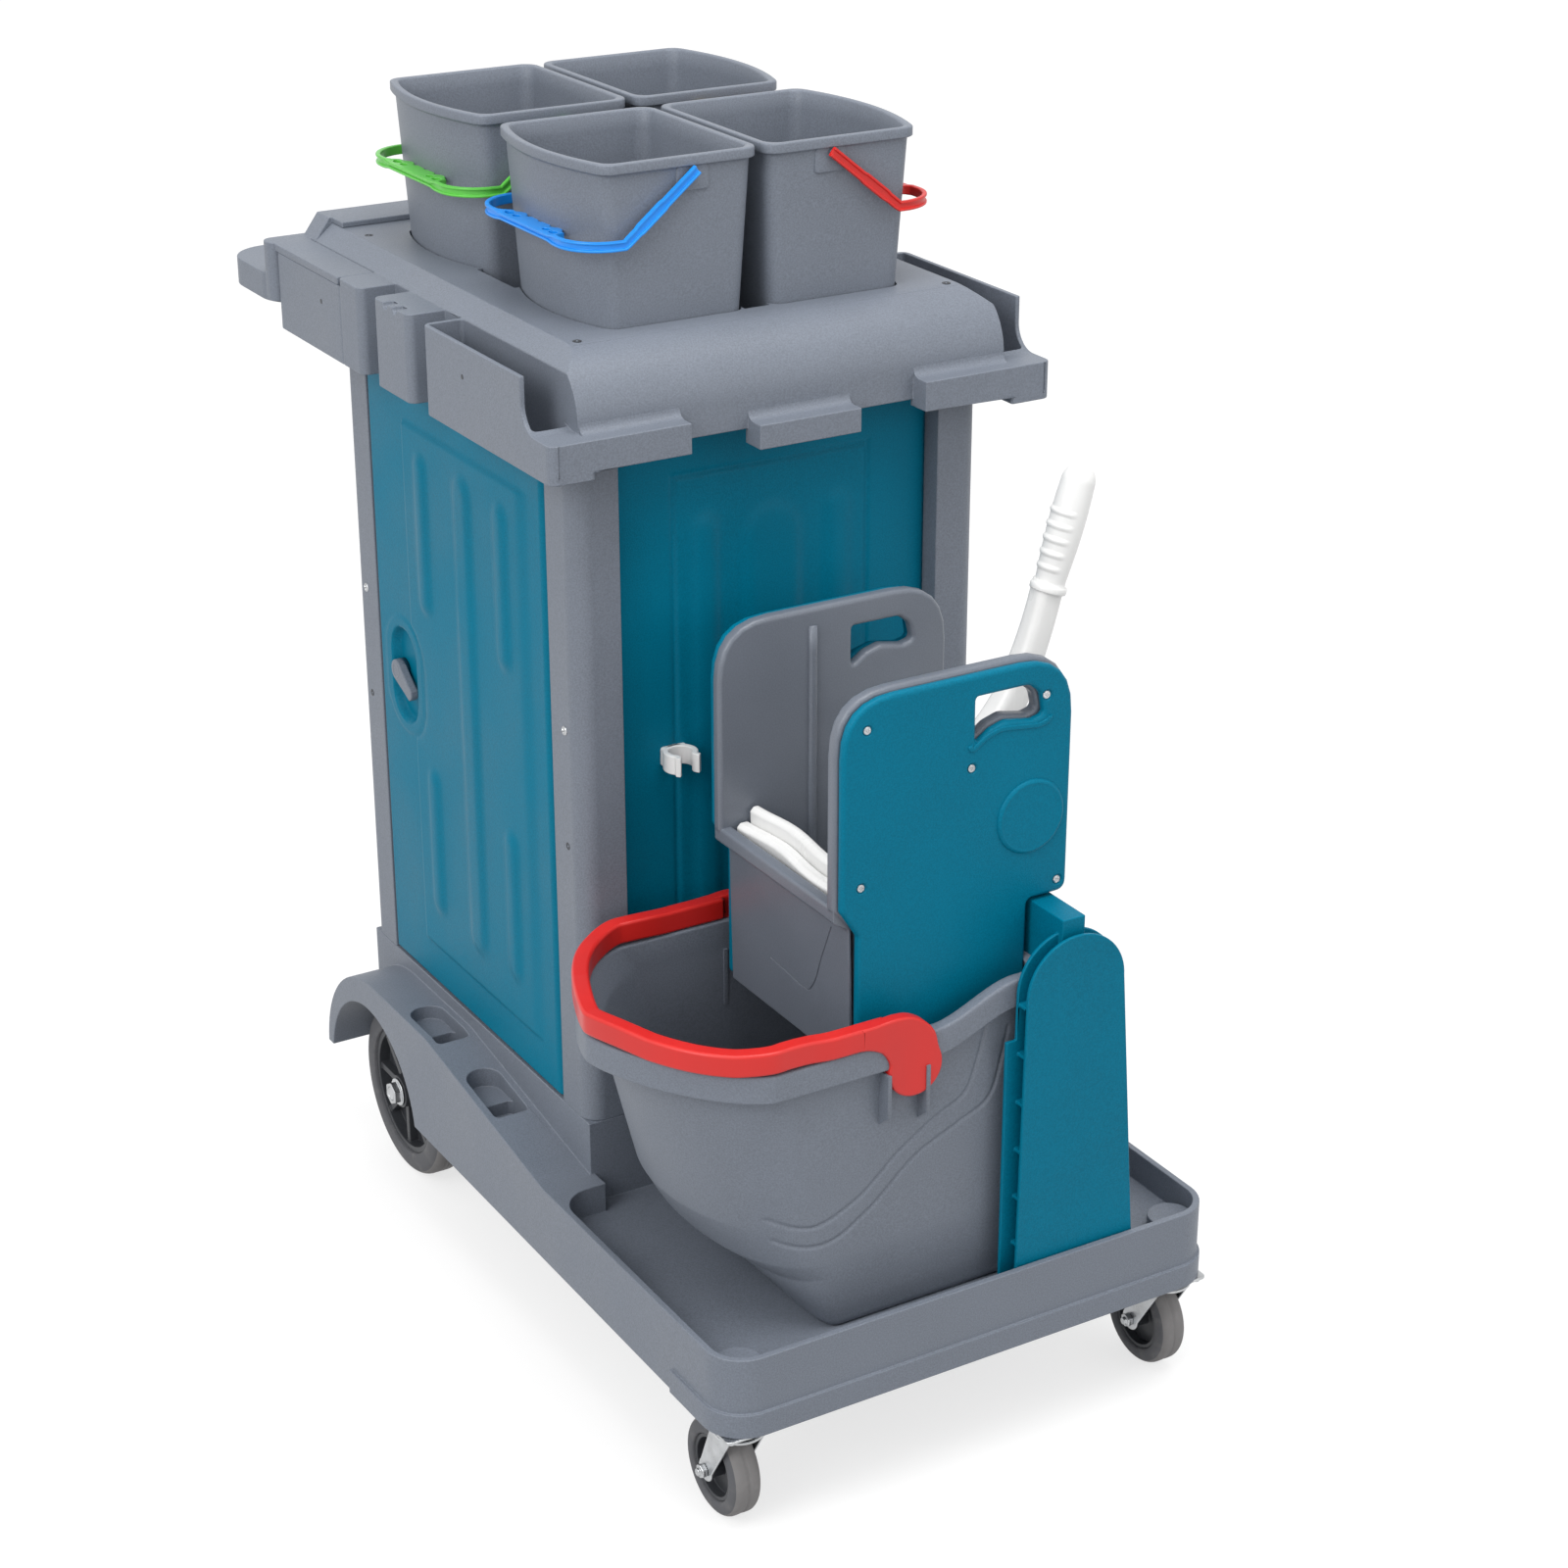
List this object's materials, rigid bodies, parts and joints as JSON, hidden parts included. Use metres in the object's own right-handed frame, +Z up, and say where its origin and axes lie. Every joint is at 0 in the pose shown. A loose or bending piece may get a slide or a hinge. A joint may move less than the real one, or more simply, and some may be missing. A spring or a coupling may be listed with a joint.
{
  "type": "janitor cart",
  "caption": "Janitor cart: wheeled deck with mop bucket and press wringer, cabinet with side doors, and a tool tray with lift-out pails and push handle.",
  "frame": {"origin": "on the ground, under the middle of the overall bounding box", "axes": "+Z up, +Y from the deck's front to the push handle, +X to the right seen from the front"},
  "size_m": [0.611, 1.106, 1.226],
  "materials": {
    "grey_plastic": "fine moulded grain, semi-matt",
    "teal_plastic": "fine moulded grain, semi-matt",
    "white_plastic": "smooth, satin",
    "red_plastic": "smooth, satin",
    "blue_plastic": "smooth, satin",
    "green_plastic": "smooth, satin",
    "yellow_plastic": "smooth, satin",
    "dark_plastic": "moulded, matt",
    "tyre_rubber": "matt grey rubber",
    "zinc_steel": "zinc plated, satin"
  },
  "bodies": {
    "cart": {"deck": "grey_plastic", "rear_axle": "zinc_steel", "axle_nuts": "zinc_steel", "caster_plate_left": "zinc_steel", "caster_plate_right": "zinc_steel", "front_left_post": "grey_plastic", "front_right_post": "grey_plastic", "rear_left_post": "grey_plastic", "rear_right_post": "grey_plastic", "front_panel": "teal_plastic", "rear_panel": "teal_plastic", "shelf": "grey_plastic", "hinge_pins": "zinc_steel", "post_screws": "zinc_steel", "tray": "grey_plastic", "tray_screws": "zinc_steel", "push_handle": "grey_plastic", "tool_clip": "white_plastic", "mop_bucket": "grey_plastic", "press_stand": "teal_plastic"},
    "wringer": {"press_body": "grey_plastic", "press_cover_front": "teal_plastic", "press_cover_rear": "teal_plastic", "cover_screws": "zinc_steel", "press_axle": "zinc_steel", "fixed_jaw": "white_plastic"},
    "wringer_lever": {"press_lever": "white_plastic", "lever_grip": "white_plastic"},
    "wringer_jaw": {"moving_jaw": "white_plastic"},
    "mop_bucket_bail": {"mop_bail": "red_plastic"},
    "caster_left": {"caster_fork_left": "zinc_steel", "caster_bolt_left": "zinc_steel"},
    "caster_wheel_left": {"caster_rim_left": "dark_plastic", "caster_tyre_left": "tyre_rubber"},
    "rear_wheel_left": {"rear_rim_left": "dark_plastic", "rear_tyre_left": "tyre_rubber"},
    "door_left": {"door_left": "teal_plastic"},
    "latch_left": {"latch_left": "grey_plastic", "latch_cam_left": "zinc_steel"},
    "pail_front_left": {"pail_front_left": "grey_plastic"},
    "bail_front_left": {"bail_front_left": "blue_plastic"},
    "pail_rear_left": {"pail_rear_left": "grey_plastic"},
    "bail_rear_left": {"bail_rear_left": "green_plastic"},
    "caster_right": {"caster_fork_right": "zinc_steel", "caster_bolt_right": "zinc_steel"},
    "caster_wheel_right": {"caster_rim_right": "dark_plastic", "caster_tyre_right": "tyre_rubber"},
    "rear_wheel_right": {"rear_rim_right": "dark_plastic", "rear_tyre_right": "tyre_rubber"},
    "door_right": {"door_right": "teal_plastic"},
    "latch_right": {"latch_right": "grey_plastic", "latch_cam_right": "zinc_steel"},
    "pail_front_right": {"pail_front_right": "grey_plastic"},
    "bail_front_right": {"bail_front_right": "red_plastic"},
    "pail_rear_right": {"pail_rear_right": "grey_plastic"},
    "bail_rear_right": {"bail_rear_right": "yellow_plastic"}
  },
  "joints": [
    {"name": "caster_swivel_left", "type": "hinge", "parent": "cart", "child": "caster_left", "pos_m": [-0.2335, -0.518, 0.11], "axis": [0, 0, 1], "continuous": true},
    {"name": "caster_roll_left", "type": "hinge", "parent": "caster_left", "child": "caster_wheel_left", "pos_m": [-0.2335, -0.488, 0.05], "axis": [1, 0, 0], "continuous": true},
    {"name": "rear_roll_left", "type": "hinge", "parent": "cart", "child": "rear_wheel_left", "pos_m": [-0.2115, 0.253, 0.1], "axis": [1, 0, 0], "continuous": true},
    {"name": "door_hinge_left", "type": "hinge", "parent": "cart", "child": "door_left", "pos_m": [-0.1995, -0.106, 0.611], "axis": [0, 0, 1], "range_deg": [0, 100]},
    {"name": "latch_turn_left", "type": "hinge", "parent": "door_left", "child": "latch_left", "pos_m": [-0.1995, 0.244, 0.615], "axis": [-1, 0, 0], "range_deg": [0, 90]},
    {"name": "pail_lift_front_left", "type": "slide", "parent": "cart", "child": "pail_front_left", "axis": [0, 0, 1], "range_m": [0, 0.25]},
    {"name": "bail_hinge_front_left", "type": "hinge", "parent": "pail_front_left", "child": "bail_front_left", "pos_m": [-0.0565, -0.034, 1.212], "axis": [0, 1, 0], "range_deg": [0, 118]},
    {"name": "pail_lift_rear_left", "type": "slide", "parent": "cart", "child": "pail_rear_left", "axis": [0, 0, 1], "range_m": [0, 0.25]},
    {"name": "bail_hinge_rear_left", "type": "hinge", "parent": "pail_rear_left", "child": "bail_rear_left", "pos_m": [-0.0565, 0.222, 1.212], "axis": [0, 1, 0], "range_deg": [0, 118]},
    {"name": "caster_swivel_right", "type": "hinge", "parent": "cart", "child": "caster_right", "pos_m": [0.2705, -0.518, 0.11], "axis": [0, 0, 1], "continuous": true},
    {"name": "caster_roll_right", "type": "hinge", "parent": "caster_right", "child": "caster_wheel_right", "pos_m": [0.2705, -0.488, 0.05], "axis": [1, 0, 0], "continuous": true},
    {"name": "rear_roll_right", "type": "hinge", "parent": "cart", "child": "rear_wheel_right", "pos_m": [0.2485, 0.253, 0.1], "axis": [1, 0, 0], "continuous": true},
    {"name": "door_hinge_right", "type": "hinge", "parent": "cart", "child": "door_right", "pos_m": [0.2365, -0.106, 0.611], "axis": [0, 0, -1], "range_deg": [0, 100]},
    {"name": "latch_turn_right", "type": "hinge", "parent": "door_right", "child": "latch_right", "pos_m": [0.2365, 0.244, 0.615], "axis": [-1, 0, 0], "range_deg": [0, 90]},
    {"name": "pail_lift_front_right", "type": "slide", "parent": "cart", "child": "pail_front_right", "axis": [0, 0, 1], "range_m": [0, 0.25]},
    {"name": "bail_hinge_front_right", "type": "hinge", "parent": "pail_front_right", "child": "bail_front_right", "pos_m": [0.0935, -0.034, 1.212], "axis": [0, -1, 0], "range_deg": [0, 118]},
    {"name": "pail_lift_rear_right", "type": "slide", "parent": "cart", "child": "pail_rear_right", "axis": [0, 0, 1], "range_m": [0, 0.25]},
    {"name": "bail_hinge_rear_right", "type": "hinge", "parent": "pail_rear_right", "child": "bail_rear_right", "pos_m": [0.0935, 0.222, 1.212], "axis": [0, -1, 0], "range_deg": [0, 118]},
    {"name": "mop_bail_hinge", "type": "hinge", "parent": "cart", "child": "mop_bucket_bail", "pos_m": [-0.0425, -0.36, 0.443], "axis": [0, 1, 0], "range_deg": [0, 45]},
    {"name": "wringer_lift", "type": "slide", "parent": "cart", "child": "wringer", "axis": [0, 0, 1], "range_m": [0, 0.16]},
    {"name": "wringer_lever", "type": "hinge", "parent": "wringer", "child": "wringer_lever", "pos_m": [0.1065, -0.36, 0.65], "axis": [0, 1, 0], "range_deg": [0, 70], "stiffness_Nm_per_rad": 0.6, "springref_deg": -68.75},
    {"name": "wringer_jaw_slide", "type": "slide", "parent": "wringer", "child": "wringer_jaw", "axis": [-1, 0, 0], "range_m": [0, 0.0702]}
  ],
  "couplings": [
    {"joint": "wringer_jaw_slide", "follows": "wringer_lever", "m_per_rad": 0.0573}
  ]
}
